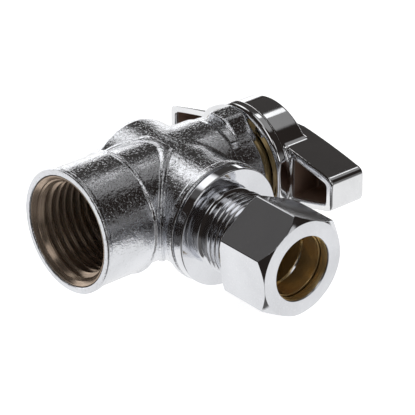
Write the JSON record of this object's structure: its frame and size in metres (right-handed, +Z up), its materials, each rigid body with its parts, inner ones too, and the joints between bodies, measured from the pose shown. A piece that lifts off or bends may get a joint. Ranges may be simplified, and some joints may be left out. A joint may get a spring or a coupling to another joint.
{
  "type": "angle stop valve",
  "caption": "Quarter-turn angle stop valve: ball valve with a threaded pipe inlet, a compression outlet at a right angle to it and a two-winged lever.",
  "frame": {"origin": "centre of the inlet mouth, where the pipe enters", "axes": "+X along the outlet, the way the tube leaves; +Y along the inlet and stem axis, from the inlet mouth towards the lever; +Z up, square to the plane of both ports"},
  "size_m": [0.0656, 0.0576, 0.027],
  "materials": {
    "cast_chrome": "bright chrome plate over a rough forged brass skin, orange-peel texture",
    "machined_chrome": "bright chrome plate over machined brass, smooth",
    "lever_chrome": "bright chrome plate over a smooth die casting",
    "brass": "machined, unplated",
    "steel": "zinc-plated steel",
    "ptfe": "white PTFE, waxy",
    "rubber": "black nitrile rubber"
  },
  "bodies": {
    "valve": {"valve_body": "cast_chrome", "outlet_adapter": "machined_chrome", "adapter_o_ring": "rubber", "outlet_seat": "ptfe", "outlet_seat_o_ring": "rubber", "back_seat": "ptfe", "back_seat_o_ring": "rubber", "stem_thrust_washer": "ptfe", "stem_packing": "ptfe", "packing_washer": "brass", "packing_gland": "brass"},
    "lever": {"ball": "machined_chrome", "handle": "lever_chrome", "handle_screw": "steel", "screw_lock_washer": "steel", "stem": "brass", "stem_o_ring_lower": "rubber", "stem_o_ring_upper": "rubber"},
    "sleeve": {"compression_sleeve": "brass"},
    "nut": {"compression_nut": "machined_chrome"}
  },
  "joints": [
    {"name": "lever_turn", "type": "hinge", "parent": "valve", "child": "lever", "pos_m": [0, 0.026, 0], "axis": [0, 1, 0], "range_deg": [0, 90]},
    {"name": "sleeve_slide", "type": "slide", "parent": "valve", "child": "sleeve", "axis": [1, 0, 0], "range_m": [0, 0.00508]},
    {"name": "nut_turn", "type": "hinge", "parent": "sleeve", "child": "nut", "pos_m": [0.034, 0.026, 0], "axis": [1, 0, 0], "range_deg": [0, 1440]}
  ],
  "couplings": [
    {"joint": "sleeve_slide", "follows": "nut_turn", "m_per_rad": 0.00020213}
  ]
}
